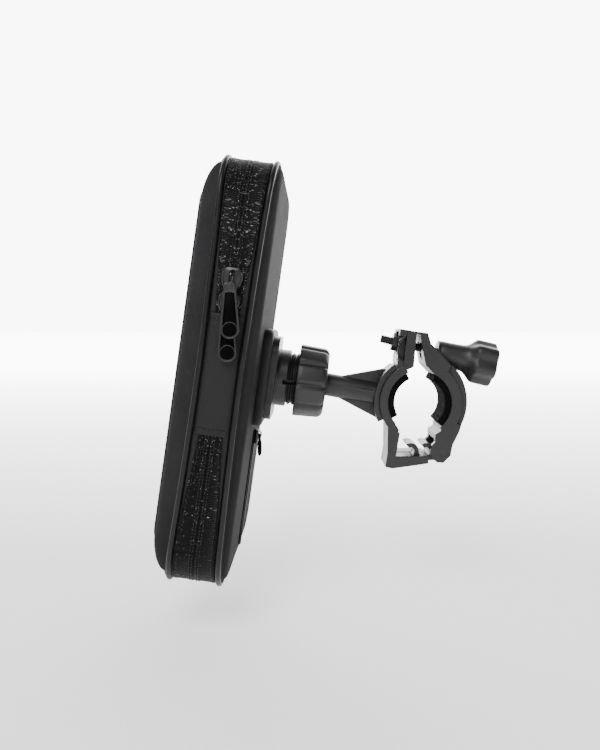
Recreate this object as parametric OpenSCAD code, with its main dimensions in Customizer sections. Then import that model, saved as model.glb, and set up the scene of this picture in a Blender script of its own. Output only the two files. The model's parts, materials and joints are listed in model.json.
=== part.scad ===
// Bicycle phone mount: zipped case, ball joint and two-jaw handlebar clamp.
// Origin at the middle of the handlebar bore. +Y runs along the bar, +Z is up, the case is at -X.

/* [Handlebar clamp] */
// Diameter of the handlebar that the rubber pads grip
bar_d = 22.2; // [22:0.1:22.4]
// Thickness of the rubber pads
pad_t = 2.8; // [2.6:0.1:3]
// Width of the clamp along the bar
clamp_w = 20; // [18:0.5:22]
// Distance between two hooks on the floor of the fixed jaw
hook_pitch = 6.8; // [6.6:0.1:7]
// Hinge pin diameter
pin_d = 3; // [2.8:0.1:3.1]

/* [Thumb screw] */
// Thread diameter
screw_d = 4; // [3.8:0.1:4.2]
// Downward slope of the screw towards its knob, in degrees
screw_slope = 13.5; // [13:0.25:14]
// Length of the knob
knob_l = 25.2; // [24:0.2:26]
// Diameter of the knob's lobed head
knob_d = 19.8; // [18.6:0.2:20.2]

/* [Ball joint] */
// Ball diameter
ball_d = 17; // [16.8:0.1:17]
// Neck diameter of the ball arm
neck_d = 10.2; // [9.4:0.1:10.4]
// Outer diameter of the ring nut
nut_d = 32.2; // [31:0.2:33]
// Number of grooves round the ring nut
nut_grooves = 10; // [8:1:12]

/* [Case] */
// Length of the case
case_l = 171.8; // [168:0.2:176]
// Width of the case, along the bar
case_w = 92; // [86:1:98]
// Corner radius of the case
case_r = 18; // [16:1:22]
// Lean of the case, top towards the rider's side, in degrees
case_lean = 7.85; // [6:0.25:9]
// Wall of the moulded shells
shell_t = 2; // [1.6:0.1:2.4]
// Length of the stitched hinge panel beside the zip
hinge_l = 44.7; // [40:0.5:50]

/* [Hidden] */
$fn = 64;

bar_r = bar_d / 2;
rim_r = bar_r + pad_t;
jaw_out_r = 17.5;
band_in_r = 18.4;
saddle_r = 19.9;
ball = [-48.3, 0, 8.7];
ball_r = ball_d / 2;
arm_slope = atan2(ball[2], -ball[0]);
pin_at = [10.1, -21.4];
pin_r = pin_d / 2;
floor_z = -23.2;
floor_low = -26.1;
fork_top = -16.2;
fork_in = 7.25;
hook_w = 14;
screw_at = [9.64, 0, 21.69];
tip_x = -26.5;
screw_r = screw_d / 2;
nut_face = -18.2;
seat_face = -1.1;
knob_hub_l = 12.6;

// Stations along the socket axis, from the ball centre (negative towards the case)
collet_end = 3.7;
nut_back = -5.6;
nut_front = 7.6;
collar_back = -14.6;
collar_front = -9.4;
flange_back = -17.4;
shell_back = -21.5;
rear_rim = -25.5;
rear_pipe = -28.5;
zip_mid = -34.5;
front_pipe = -40.5;
front_rim = -43.5;
face = -52.5;
case_mid = 2.3;
thread_r = 11.8;
cavity_r = ball_r + 1.15;
panel_mid = 1.25;
tape_in = 0.8;
tape_t = 1.2;
split = 0.3;
near_cut = -case_w / 2 + 3;
screw_grid = 12;
rim_d = 3;
screw_plate_r = 1.5;

// Places of the zip sliders along the near side of the case, and of their pulls
slider_l = 8.8;
lower_slider_z = 29;
upper_slider_z = 38.2;
lower_pivot = [zip_mid, -case_w / 2 - 2.6, 27];
upper_pivot = [zip_mid, -case_w / 2 - 4.6, 35.8];
pull_l = 21.4;
pocket_z = -24.6;
pocket_l = 52;

black = [0.09, 0.09, 0.1];
plastic = [0.16, 0.16, 0.17];
fabric = [0.2, 0.2, 0.21];
steel = [0.3, 0.3, 0.31];

// ---------- shared shapes ----------
module in_case() { translate(ball) rotate([0, case_lean, 0]) children(); }
module in_arm() { translate(ball) rotate([0, arm_slope, 0]) children(); }
module in_screw() { translate(screw_at) rotate([0, screw_slope, 0]) children(); }

// A rod along X from x0 to x1
module rod(x0, x1, r, r2 = -1, fn = $fn) {
    translate([x0, 0, 0]) rotate([0, 90, 0])
        cylinder(r1 = r, r2 = r2 < 0 ? r : r2, h = x1 - x0, $fn = fn);
}

// A rod along Y, centred
module cross_rod(w, r) { rotate([90, 0, 0]) cylinder(r = r, h = w, center = true); }

// A profile drawn in X and Z, w wide along Y
module plate(w) { rotate([90, 0, 0]) linear_extrude(w, center = true) children(); }

// Two plates between |y| = y0 and |y| = y1
module plate_pair(y0, y1) {
    for (s = [-1, 1]) translate([0, s * (y0 + y1) / 2, 0]) plate(y1 - y0) children();
}

module rounded(l, w, r) {
    square([l - 2 * r, w], center = true);
    square([l, w - 2 * r], center = true);
    for (sx = [-1, 1], sy = [-1, 1])
        translate([sx * (l / 2 - r), sy * (w / 2 - r)]) circle(r = r);
}

// A rounded slab across the case from x0 to x1
module slab(x0, x1, l, w, r, z = case_mid) {
    translate([x0, 0, z]) rotate([0, 90, 0]) linear_extrude(x1 - x0) rounded(l, w, r);
}

// The outline of the case moved in by d, from x0 to x1
module case_slab(x0, x1, d) { slab(x0, x1, case_l - 2 * d, case_w - 2 * d, case_r - d); }

module case_ring(x0, x1, out_d, in_d) {
    difference() {
        case_slab(x0, x1, out_d);
        case_slab(x0 - 1, x1 + 1, in_d);
    }
}

// A ring sector in 2D, from angle a0 to a1
module arc2d(r0, r1, a0, a1) {
    steps = 8;
    intersection() {
        difference() {
            circle(r = r1, $fn = 96);
            circle(r = r0, $fn = 96);
        }
        polygon(concat([[0, 0]],
            [for (i = [0:steps]) let(a = a0 + (a1 - a0) * i / steps) 2 * r1 * [cos(a), sin(a)]]));
    }
}

// A crowned shell: the outline moved in by d at x0, and by side_d and end_d more at x1
module crowned(x0, x1, d, side_d, end_d) {
    steps = 5;
    thin = 0.04;
    hull() for (i = [0:steps])
        let(a = 90 * i / steps, k = 1 - cos(a), x = x0 + (x1 - x0 - thin) * sin(a))
            slab(x, x + thin, case_l - 2 * (d + end_d * k), case_w - 2 * (d + side_d * k),
                case_r - d - side_d * k, $fn = 32);
}

// ---------- bar clamp ----------
module lug_wall2d() {
    polygon([[-1.35, 31], [-5.3, 31.7], [-7.2, 16.2], [-6.3, 13.6], [-5.4, 14.4], [-2.7, 15.6]]);
}
module lug_web2d() {
    polygon([[-5, 31.7], [-8.4, 32.2], [-9.8, 18.5], [-9.7, 14.6], [-7, 15.8]]);
}
module leg2d() {
    polygon([[-14, -9.5], [-11.2, -8.6], [-9, -11.8], [-9.6, -12.6], [-8.75, -13.2], [-10.5, floor_z],
        [3.6, floor_z], [3.6, -26.4], [-12, -28.6], [-15.1, -27.9], [-14.1, -21.8]]);
}
module hook2d() {
    arc2d(pin_r + 0.08, pin_r + 1.9, -30, 128);
    polygon([[pin_r + 0.08, 0.2], [pin_r + 1.9, 0.2], [pin_r + 2.1, -1.5], [pin_r + 2.8, floor_z - pin_at[1]],
        [0.9, floor_z - pin_at[1]], [1.4, -0.9]]);
}

module fixed_jaw() {
    color(plastic) difference() {
        union() {
            plate(clamp_w) {
                arc2d(rim_r, jaw_out_r, 111, 221);
                lug_wall2d();
                leg2d();
            }
            plate(clamp_w * 0.62) lug_web2d();
            plate(clamp_w * 0.94) intersection() {
                lug_web2d();
                union() {
                    translate([-12, 29.2]) square([9, 4]);
                    translate([-12, 14]) square([9, 4.4]);
                    polygon([[-9.6, 26.5], [-6.2, 30], [-5, 30], [-9.9, 24.2]]);
                    polygon([[-10.2, 22], [-6.2, 16], [-7.6, 16], [-10.5, 20]]);
                }
            }
            plate(hook_w) {
                translate([3, floor_low + 0.6]) square([7.6, floor_z - floor_low - 0.6]);
                for (i = [0:2]) translate([pin_at[0] - i * hook_pitch, pin_at[1]]) hook2d();
            }
        }
        in_screw() rod(-30, 4, screw_r + 0.2);
        in_screw() translate([nut_face - 10, -5, -5]) cube([10, 10, 10]);
        translate([-10, -0.8, floor_z - 0.6]) cube([13, 1.6, 2]);
    }
}

module jaw_pad(a0, a1) { plate(clamp_w - 1) arc2d(bar_r, rim_r, a0, a1); }
module fixed_jaw_pad() { color(black) jaw_pad(114, 209); }
module moving_jaw_pad() { color(black) jaw_pad(-47, 61); }

module ball_arm() {
    web_t = 3;
    foot_top = 11.5;
    foot_low = 10.5;
    foot_side = 8.8;
    root_x = 12.5;
    foot_x = 31.7;
    color(plastic) union() {
        in_arm() sphere(r = ball_r, $fn = 96);
        plate(clamp_w - 3) arc2d(jaw_out_r, saddle_r, 124, 205);
        difference() {
            in_arm() {
                rod(0, 34, neck_d / 2);
                plate(web_t) polygon([[root_x, 4.4], [foot_x, foot_top], [36, foot_top],
                    [36, -foot_low], [foot_x, -foot_low], [root_x, -4.4]]);
                linear_extrude(web_t * 0.8, center = true)
                    polygon([[root_x, 4.4], [foot_x, foot_side], [36, foot_side],
                        [36, -foot_side], [foot_x, -foot_side], [root_x, -4.4]]);
            }
            cross_rod(clamp_w + 2, (jaw_out_r + saddle_r) / 2);
        }
    }
}

module hex_nut() {
    color(steel) in_screw() difference() {
        rod(nut_face - 3.1, nut_face - 0.7, 4.04, fn = 6);
        rod(nut_face - 4, nut_face, screw_r + 0.05);
    }
}
module nut_washer() {
    color(steel) in_screw() difference() {
        rod(nut_face - 0.7, nut_face, 4.5);
        rod(nut_face - 1, nut_face + 1, screw_r + 0.15);
    }
}

module right_lug2d() {
    polygon([[-1.2, 31], [3.5, 30.4], [4.9, 25.6], [8.5, 22.2], [13.8, 16.2], [10.5, 11], [6.1, 12.6],
        [2.5, 16.4], [1.35, 22.9], [0.3, 29.6], [-1.2, 30.2]]);
}
module heel2d() {
    polygon([[9.4, -11.4], [8.8, -12.5], [6.6, -13.7], [6.6, -17.1], [4.9, -18.9], [4.6, -22.9],
        [7.2, -25.9], [10.1, -26.1], [13.2, -23.1], [14.2, -18.3], [17.2, -12.4], [18, -9.5], [12.5, -8.5]]);
}

module moving_jaw() {
    color(plastic) difference() {
        union() {
            plate(clamp_w) {
                arc2d(rim_r, band_in_r, -51.5, 65);
                right_lug2d();
            }
            plate(clamp_w - 4) intersection() {
                difference() {
                    translate([-1.9, 0.6]) circle(r = 22.8, $fn = 96);
                    circle(r = band_in_r - 0.4, $fn = 96);
                }
                polygon([[0, 0], [60, 66], [60, -46]]);
            }
            plate(clamp_w) difference() {
                heel2d();
                translate([0, fork_top - 14]) square([20, 14]);
            }
            plate_pair(fork_in, clamp_w / 2) heel2d();
        }
        translate([pin_at[0], 0, pin_at[1]]) cross_rod(clamp_w + 2, pin_r + 0.02);
        in_screw() translate([-14, -screw_r - 0.3, -4.6]) cube([16, 2 * screw_r + 0.6, 7.2]);
        in_screw() translate([seat_face, -6.4, -7.4]) cube([12, 12.8, 16]);
    }
}

module hinge_pin() {
    color(steel) translate([pin_at[0], 0, pin_at[1]]) cross_rod(clamp_w, pin_r);
}

// ---------- thumb screw ----------
module thumb_screw_shank() {
    color(steel) in_screw() {
        rod(tip_x, tip_x + 0.5, screw_r - 0.5, screw_r);
        rod(tip_x + 0.5, knob_hub_l - 1, screw_r);
    }
}
module thumb_screw_knob() {
    lobes = 6;
    head_x = 16;
    hub_r = 5.3;
    hub_end_r = 6;
    color(plastic) in_screw() difference() {
        union() {
            rod(0, knob_hub_l, hub_r, hub_end_r);
            rod(knob_hub_l, head_x, hub_end_r, knob_d / 2);
            rod(head_x, knob_l - 0.7, knob_d / 2);
            rod(knob_l - 0.7, knob_l, knob_d / 2, knob_d / 2 - 0.7);
        }
        rod(-1, knob_hub_l - 0.9, screw_r + 0.05);
        for (i = [0:lobes - 1]) rotate([i * 360 / lobes + 8, 0, 0])
            translate([0, 0, knob_d / 2 + 2.8]) rod(knob_hub_l, knob_l + 1, 4.2);
    }
}
module knob_washer() {
    color(steel) in_screw() difference() {
        rod(seat_face + 0.05, -0.05, 5.2);
        rod(-3, 1, screw_r + 0.08);
    }
}

// ---------- ball joint ----------
module liner(r0, r1, x0, x1) {
    in_case() intersection() {
        difference() {
            sphere(r = r1, $fn = 96);
            sphere(r = r0, $fn = 96);
        }
        rod(x0, x1, 20);
    }
}
module inner_ball_liner() { color([0.55, 0.55, 0.56]) liner(ball_r + 0.05, ball_r + 0.5, -7.4, 3.6); }
module outer_ball_liner() { color([0.5, 0.5, 0.51]) liner(ball_r + 0.58, ball_r + 1.05, -7, 3.4); }

module socket_plate() {
    slots = 4;
    slot_w = 1.9;
    slot_back = -11.4;
    color(plastic) in_case() difference() {
        union() {
            slab(flange_back, collar_back, 36, 36, 8, 0);
            rod(collar_back, collar_front - 0.5, 12.6);
            rod(collar_front - 0.5, collar_front, 12.6, 12.1);
            rod(collar_front, collet_end, thread_r - 0.9);
            for (i = [0:5]) translate([collar_front + 0.3 + i * 2, 0, 0]) {
                rod(0, 0.9, thread_r - 0.9, thread_r);
                rod(0.9, 1.8, thread_r, thread_r - 0.9);
            }
        }
        sphere(r = cavity_r, $fn = 96);
        for (i = [0:slots - 1]) rotate([i * 360 / slots + 4, 0, 0])
            translate([slot_back, -slot_w / 2, cavity_r - 1.8]) cube([20, slot_w, 8]);
        for (sy = [-1, 1], sz = [-1, 1]) translate([0, sy * screw_grid, sz * screw_grid])
            rod(flange_back - 1, collar_back - 0.8, screw_plate_r + 0.02);
    }
}
module pressure_ring() {
    color([0.6, 0.6, 0.6]) in_case() difference() {
        rod(collet_end + 0.05, collet_end + 1.15, 11);
        sphere(r = cavity_r + 0.1, $fn = 96);
    }
}
module ring_nut() {
    round_r = 2.6;
    taper = 0.7;
    end_r = nut_d / 2 - taper;
    color(plastic) in_case() difference() {
        union() {
            rod(nut_back, nut_front - round_r, nut_d / 2, end_r);
            translate([nut_front - round_r, 0, 0]) rotate([0, 90, 0]) rotate_extrude($fn = 96) {
                square([end_r - round_r, round_r]);
                intersection() {
                    translate([end_r - round_r, 0]) circle(r = round_r);
                    translate([end_r - round_r - 0.1, 0]) square(round_r + 1);
                }
            }
        }
        rod(nut_back - 1, collet_end + 1.2, thread_r + 0.1);
        rod(collet_end + 1.1, nut_front + 0.1, 8.7, 9.6);
        for (i = [0:nut_grooves - 1]) rotate([i * 360 / nut_grooves + 3, 0, 0])
            translate([0, -nut_d / 2 - 1.1, 0]) rod(nut_back - 1, nut_front + 1, 2.1);
    }
}

// ---------- back of the case ----------
module plate_screw_holes(r) {
    for (sy = [-1, 1], sz = [-1, 1]) translate([0, sy * screw_grid, sz * screw_grid])
        rod(rear_rim - 5, flange_back + 1, r);
}
module mount_pad() {
    color(black) in_case() difference() {
        slab(shell_back, flange_back, 41.6, 40, 5, 0);
        plate_screw_holes(screw_plate_r + 0.05);
    }
}
module backing_plate() {
    color(steel) in_case() difference() {
        slab(-24.9, -23.5, 60, 56, 8, 0);
        plate_screw_holes(screw_plate_r + 0.05);
    }
}
module plate_screws() {
    color(steel) in_case() for (sy = [-1, 1], sz = [-1, 1])
        translate([0, sy * screw_grid, sz * screw_grid]) {
            rod(-26.4, -24.9, 2.8);
            rod(-24.9, -15.6, screw_plate_r);
        }
}
module rear_shell() {
    side_d = 4.5;
    color(fabric) in_case() difference() {
        crowned(rear_rim, shell_back, rim_d, side_d, side_d);
        crowned(rear_rim - 0.1, shell_back - shell_t, rim_d + shell_t, side_d, side_d);
        plate_screw_holes(screw_plate_r + 0.1);
    }
}
module rear_piping() { color(black) in_case() case_ring(rear_pipe, rear_rim, -0.8, rim_d + 1.2); }
module front_piping() { color(black) in_case() case_ring(front_rim, front_pipe, -0.8, rim_d + 1.2); }

// Half of the gusset: tape from x0 to x1 with a row of teeth along the split
module gusset_half(x0, x1, tooth_x) {
    case_ring(x0, x1, tape_in, tape_in + tape_t);
    case_ring(tooth_x, tooth_x + 1.3, tape_in - 0.6, tape_in + 0.1);
}
module hinge_gap() {
    translate([front_rim, -case_w, panel_mid - hinge_l / 2]) cube([20, case_w / 2 + 4, hinge_l]);
}
module front_half() {
    difference() {
        gusset_half(front_pipe, zip_mid - split, zip_mid - split - 1.3);
        hinge_gap();
    }
}
module near_side() { translate([front_rim, -case_w, -case_l]) cube([20, case_w + near_cut, 2 * case_l]); }

module rear_gusset() {
    color(fabric) in_case() difference() {
        gusset_half(zip_mid + split, rear_pipe, zip_mid + split);
        hinge_gap();
    }
}
module front_gusset() {
    color(fabric) in_case() difference() {
        front_half();
        near_side();
    }
}
module near_tape() {
    color(fabric) in_case() intersection() {
        front_half();
        near_side();
    }
}
module hinge_panel() {
    color(black) in_case() translate([front_pipe, -case_w / 2 + 0.3, panel_mid - hinge_l / 2 + 0.05])
        cube([rear_pipe - front_pipe, 1.5, hinge_l - 0.1]);
}
module foam_insert() {
    color([0.12, 0.12, 0.12]) in_case() slab(-31, -26.7, case_l - 14, case_w - 14, case_r - 7);
}
module pocket_zip() {
    color(black) in_case() translate([shell_back, -3.2, pocket_z - pocket_l]) {
        cube([0.5, 6.4, pocket_l]);
        translate([0, 2.1, 0]) cube([0.9, 2.2, pocket_l]);
    }
}
module pocket_slider() {
    color(steel) in_case() translate([shell_back + 1, 0, pocket_z]) difference() {
        union() {
            translate([0, -2.2, -6.4]) cube([0.9, 4.4, 6]);
            translate([0.4, -0.6, -3.6]) cube([2.4, 1.2, 2.8]);
        }
        translate([1.7, 0, -2.2]) cross_rod(4, 0.75);
    }
}
module pocket_pull() {
    pivot = [shell_back + 2.7, 0, pocket_z - 2.2];
    color(black) in_case() translate(pivot) rotate([0, -case_lean, 0]) difference() {
        union() {
            cross_rod(4, 0.5);
            for (s = [-1, 1]) translate([-0.5, s * 1.5 - 0.5, -2.6]) cube([1, 1, 2.6]);
            translate([-0.7, -2, -3.4]) cube([1.4, 4, 1.4]);
            translate([-0.9, -1.3, -9.6]) cube([1.8, 2.6, 6.4]);
        }
    }
}

// ---------- front of the case ----------
front_side_d = 9;
front_end_d = 15;
win_l = case_l - 2 * (rim_d + front_end_d);
win_w = case_w - 2 * (rim_d + front_side_d);
module front_shell() {
    color(fabric) in_case() difference() {
        mirror([1, 0, 0]) crowned(-front_rim, -face, rim_d, front_side_d, front_end_d);
        mirror([1, 0, 0]) crowned(-front_rim - 0.1, -face - shell_t, rim_d + shell_t, front_side_d, front_end_d);
        slab(face - 1, face + 6, win_l, win_w, 9);
    }
}
module window() {
    color([0.6, 0.65, 0.7, 0.4]) in_case() slab(face, face + 0.6, win_l - 0.1, win_w - 0.1, 9);
}
module window_binding() {
    color(black) in_case() difference() {
        slab(face - 0.6, face, win_l + 5, win_w + 5, 11);
        slab(face - 1, face + 1, win_l - 1, win_w - 1, 8.5);
    }
}

// ---------- zip sliders ----------
module slider(z, pivot) {
    y0 = -case_w / 2;
    bail_y = pivot[1] - 1.1;
    color(steel) in_case() {
        translate([zip_mid - 3.5, y0 - 1.6, z - slider_l / 2]) cube([7, 1.5, slider_l]);
        translate([zip_mid - 0.2, y0 - 0.5, z - 1.5]) cube([0.4, 4, 4]);
        translate([zip_mid - 3, y0 + 2.3, z - slider_l / 2]) cube([6, 1, slider_l]);
        difference() {
            translate([zip_mid - 0.9, bail_y, pivot[2] - 1.5]) cube([1.8, y0 - 1.5 - bail_y, z - pivot[2] + 3]);
            translate(pivot) rotate([0, 90, 0]) cylinder(r = 0.75, h = 6, center = true);
        }
    }
}
module pull(pivot) {
    top_w = 4.6;
    low_w = 6.9;
    t = 1.2;
    loop = 3.4;
    color(black) in_case() translate(pivot) rotate([0, -case_lean, 0]) difference() {
        union() {
            rotate([0, 90, 0]) cylinder(r = 0.5, h = top_w, center = true, $fn = 32);
            plate(t) {
                polygon([[-top_w / 2, -0.1], [top_w / 2, -0.1], [low_w / 2, -pull_l + 4.2],
                    [-low_w / 2, -pull_l + 4.2]]);
                translate([0, -pull_l + 1 + low_w / 2]) circle(r = low_w / 2);
            }
        }
        plate(t + 2) {
            translate([-1.35, -loop]) square([2.7, loop - 0.45]);
            translate([0, -pull_l + 1 + low_w / 2]) circle(r = 1.5);
        }
    }
}
module lower_slider() { slider(lower_slider_z, lower_pivot); }
module upper_slider() { slider(upper_slider_z, upper_pivot); }
module lower_pull() { pull(lower_pivot); }
module upper_pull() { pull(upper_pivot); }

fixed_jaw();
fixed_jaw_pad();
ball_arm();
hex_nut();
nut_washer();
moving_jaw();
moving_jaw_pad();
hinge_pin();
thumb_screw_shank();
thumb_screw_knob();
knob_washer();
inner_ball_liner();
outer_ball_liner();
socket_plate();
pressure_ring();
ring_nut();
mount_pad();
backing_plate();
plate_screws();
rear_shell();
rear_piping();
rear_gusset();
foam_insert();
pocket_zip();
pocket_slider();
pocket_pull();
front_shell();
window();
window_binding();
front_piping();
front_gusset();
near_tape();
hinge_panel();
lower_slider();
lower_pull();
upper_slider();
upper_pull();
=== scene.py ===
"""Looks of a bicycle phone mount: zipped case, ball joint and handlebar clamp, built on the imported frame."""
import json
import math

import bmesh
import bpy
import numpy as np
from mathutils import Matrix, Vector


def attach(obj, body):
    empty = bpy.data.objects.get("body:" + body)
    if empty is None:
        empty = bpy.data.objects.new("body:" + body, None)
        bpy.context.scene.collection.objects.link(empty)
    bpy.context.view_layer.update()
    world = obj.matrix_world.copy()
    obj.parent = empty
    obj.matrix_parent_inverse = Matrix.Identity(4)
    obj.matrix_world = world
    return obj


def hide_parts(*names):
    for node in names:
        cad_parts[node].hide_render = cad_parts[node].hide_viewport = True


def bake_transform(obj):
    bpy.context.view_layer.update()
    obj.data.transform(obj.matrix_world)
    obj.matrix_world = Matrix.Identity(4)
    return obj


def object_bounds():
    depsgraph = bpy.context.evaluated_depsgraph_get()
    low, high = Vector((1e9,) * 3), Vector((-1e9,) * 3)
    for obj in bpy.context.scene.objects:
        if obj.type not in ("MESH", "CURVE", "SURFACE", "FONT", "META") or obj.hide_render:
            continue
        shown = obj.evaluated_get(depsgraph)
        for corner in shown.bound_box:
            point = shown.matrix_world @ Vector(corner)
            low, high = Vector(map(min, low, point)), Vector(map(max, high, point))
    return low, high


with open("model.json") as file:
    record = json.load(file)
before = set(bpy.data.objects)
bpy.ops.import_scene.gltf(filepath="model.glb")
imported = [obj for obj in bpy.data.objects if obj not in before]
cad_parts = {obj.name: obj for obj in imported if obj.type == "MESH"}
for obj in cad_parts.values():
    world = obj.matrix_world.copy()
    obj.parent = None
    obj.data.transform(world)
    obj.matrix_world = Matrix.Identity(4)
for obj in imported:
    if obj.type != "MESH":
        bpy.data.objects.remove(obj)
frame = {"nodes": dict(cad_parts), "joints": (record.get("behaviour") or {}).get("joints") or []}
CAD_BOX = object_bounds()
MM = 0.001
JOINTS = {j["name"]: j for j in frame["joints"]}


# ---------------------------------------------------------------- frames and measures
def axes_at(origin, x_axis, z_axis):
    """A 4x4 whose local x and z lie along the two axes, with its origin at a point of the row frame."""
    x = Vector(x_axis).normalized()
    z = Vector(z_axis).normalized()
    y = z.cross(x).normalized()
    z = x.cross(y)
    m = Matrix((x, y, z)).transposed().to_4x4()
    m.translation = Vector(origin)
    return m


BALL = Vector(JOINTS["ball_pitch"]["pos_m"])
CASE = axes_at(BALL, JOINTS["ball_roll"]["axis"], JOINTS["ball_yaw"]["axis"])
SCREW = axes_at(JOINTS["screw_turn"]["pos_m"], JOINTS["screw_turn"]["axis"], (0, 0, 1))
ROW = Matrix.Identity(4)


def local_box(node, where):
    """Lowest and highest corner of a CAD node in a local frame, in millimetres."""
    inverse = where.inverted()
    co = np.array([inverse @ v.co for v in frame["nodes"][node].data.vertices]) / MM
    return co.min(0), co.max(0)


SHELL_F = local_box("front_shell", CASE)
SHELL_R = local_box("rear_shell", CASE)
PANEL = local_box("hinge_panel", CASE)
PIPING = local_box("rear_piping", CASE)
PIPING_PROUD = 0.8
HALF_L = (PIPING[1][2] - PIPING[0][2]) / 2 - PIPING_PROUD
HALF_W = (PIPING[1][1] - PIPING[0][1]) / 2 - PIPING_PROUD
MID_Z = (SHELL_F[1][2] + SHELL_F[0][2]) / 2
FACE_X = SHELL_F[0][0]
BACK_X = SHELL_R[1][0]
ZIP_X = (local_box("front_piping", CASE)[1][0] + PIPING[0][0]) / 2
CORNER = 18.0
GAP_MID = 8.0
GAP_END = 9.8


def half_gap(z):
    """Distance from the zip to the middle of either piping, least half way along the case."""
    t = np.clip(np.abs((z - MID_Z) / HALF_L), 0, 1)
    return GAP_MID + (GAP_END - GAP_MID) * t ** 1.8


SIDE = HALF_L - CORNER
TOP = 2 * (HALF_W - CORNER)
ARC = math.pi / 2 * CORNER
LENGTHS = [SIDE, ARC, TOP, ARC, 2 * SIDE, ARC, TOP, ARC, SIDE]
PERIMETER = sum(LENGTHS)


def outline(s):
    """Points (y, z) and outward normals, s millimetres round the case outline from the near side up."""
    s = np.asarray(s, float) % PERIMETER
    point = np.zeros((len(s), 2))
    normal = np.zeros((len(s), 2))
    w, l = HALF_W - CORNER, HALF_L - CORNER
    edges = np.cumsum([0] + LENGTHS)
    straight = {0: ((-HALF_W, 0), (0, 1), (-1, 0)), 2: ((-w, HALF_L), (1, 0), (0, 1)),
                4: ((HALF_W, l), (0, -1), (1, 0)), 6: ((w, -HALF_L), (-1, 0), (0, -1)),
                8: ((-HALF_W, -l), (0, 1), (-1, 0))}
    corners = {1: ((-w, l), 180), 3: ((w, l), 90), 5: ((w, -l), 0), 7: ((-w, -l), -90)}
    for k in range(9):
        on = (s >= edges[k] - 1e-9) & (s <= edges[k + 1] + 1e-9)
        t = (s[on] - edges[k])[:, None]
        if k in straight:
            start, along, out = (np.array(v, float) for v in straight[k])
            point[on] = start + t * along
            normal[on] = out
        else:
            centre, angle = corners[k]
            a = np.radians(angle) - t[:, 0] / CORNER
            normal[on] = np.stack([np.cos(a), np.sin(a)], 1)
            point[on] = np.array(centre) + CORNER * normal[on]
    point[:, 1] += MID_Z
    return point, normal


def stations(s0, s1, corner_step=2.0, side_step=6.0):
    """Distances round the outline from s0 to s1, close together round the corners."""
    edges = np.cumsum([0] + LENGTHS)
    marks = [s0]
    for lap in (-1, 0, 1):
        for k in range(9):
            step = corner_step if k % 2 else side_step
            n = max(2, int(LENGTHS[k] / step))
            marks += list(lap * PERIMETER + edges[k] + LENGTHS[k] * np.arange(n) / n)
    inner = sorted(m for m in marks if s0 + 0.4 < m < s1 - 0.4)
    return np.array([s0] + inner + [s1])


# ---------------------------------------------------------------- mesh helpers
def add_piece(name, verts, faces, where, body, material, replaces=(), slot=None, smooth=True, uvs=None,
              face_materials=None):
    """A mesh piece from millimetre points in a local frame, riding on a body."""
    mesh = bpy.data.meshes.new(name)
    world = [where @ (Vector(v) * MM) for v in verts]
    mesh.from_pydata([tuple(v) for v in world], [], [tuple(int(i) for i in f) for f in faces])
    if uvs is not None:
        layer = mesh.uv_layers.new(name="UVMap")
        for loop, uv in zip(layer.data, uvs):
            loop.uv = uv
    materials = material if isinstance(material, (list, tuple)) else [material]
    for m in materials:
        mesh.materials.append(m)
    if face_materials is not None:
        mesh.polygons.foreach_set("material_index", face_materials)
    bm = bmesh.new()
    bm.from_mesh(mesh)
    bmesh.ops.recalc_face_normals(bm, faces=bm.faces)
    bm.to_mesh(mesh)
    bm.free()
    mesh.polygons.foreach_set("use_smooth", [smooth] * len(mesh.polygons))
    obj = bpy.data.objects.new(name, mesh)
    bpy.context.scene.collection.objects.link(obj)
    if body:
        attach(obj, body)
    if replaces:
        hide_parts(*replaces)
    return obj


def grid_faces(nu, nv, close_u, close_v, u=None, v=None, caps=False):
    """Faces and loop UVs of an nu by nv grid of points."""
    u = np.arange(nu + 1, dtype=float) if u is None else u
    v = np.arange(nv + 1, dtype=float) if v is None else v
    faces, uvs = [], []
    for i in range(nu if close_u else nu - 1):
        i2 = (i + 1) % nu
        for j in range(nv if close_v else nv - 1):
            j2 = (j + 1) % nv
            faces.append((i * nv + j, i2 * nv + j, i2 * nv + j2, i * nv + j2))
            uvs += [(u[i], v[j]), (u[i + 1], v[j]), (u[i + 1], v[j + 1]), (u[i], v[j + 1])]
    if caps:
        for i, order in ((0, 1), (nu - 1, -1)):
            ring = [i * nv + j for j in range(nv)][::order]
            faces.append(tuple(ring))
            uvs += [(u[i], v[j]) for j in range(nv)][::order]
    return faces, uvs


def add_grid(name, verts, closed, where, body, mat, **kw):
    """A piece from a grid of points that closes across, and either closes along too or is capped."""
    faces, _ = grid_faces(*verts.shape[:2], closed, True, caps=not closed)
    return add_piece(name, verts.reshape(-1, 3), faces, where, body, mat, **kw)


def running(points):
    """Distance along a list of points, with one more step for closing the loop."""
    d = np.linalg.norm(np.diff(points, axis=0, append=points[:1]), axis=1)
    return np.concatenate([[0], np.cumsum(d)])


def around(point, normal, x, inset):
    """Grid of points from columns of x and of inset behind the case outline."""
    verts = np.zeros((len(point), x.shape[1], 3))
    verts[:, :, 0] = x
    verts[:, :, 1] = point[:, :1] - inset * normal[:, :1]
    verts[:, :, 2] = point[:, 1:] - inset * normal[:, 1:]
    return verts


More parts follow.
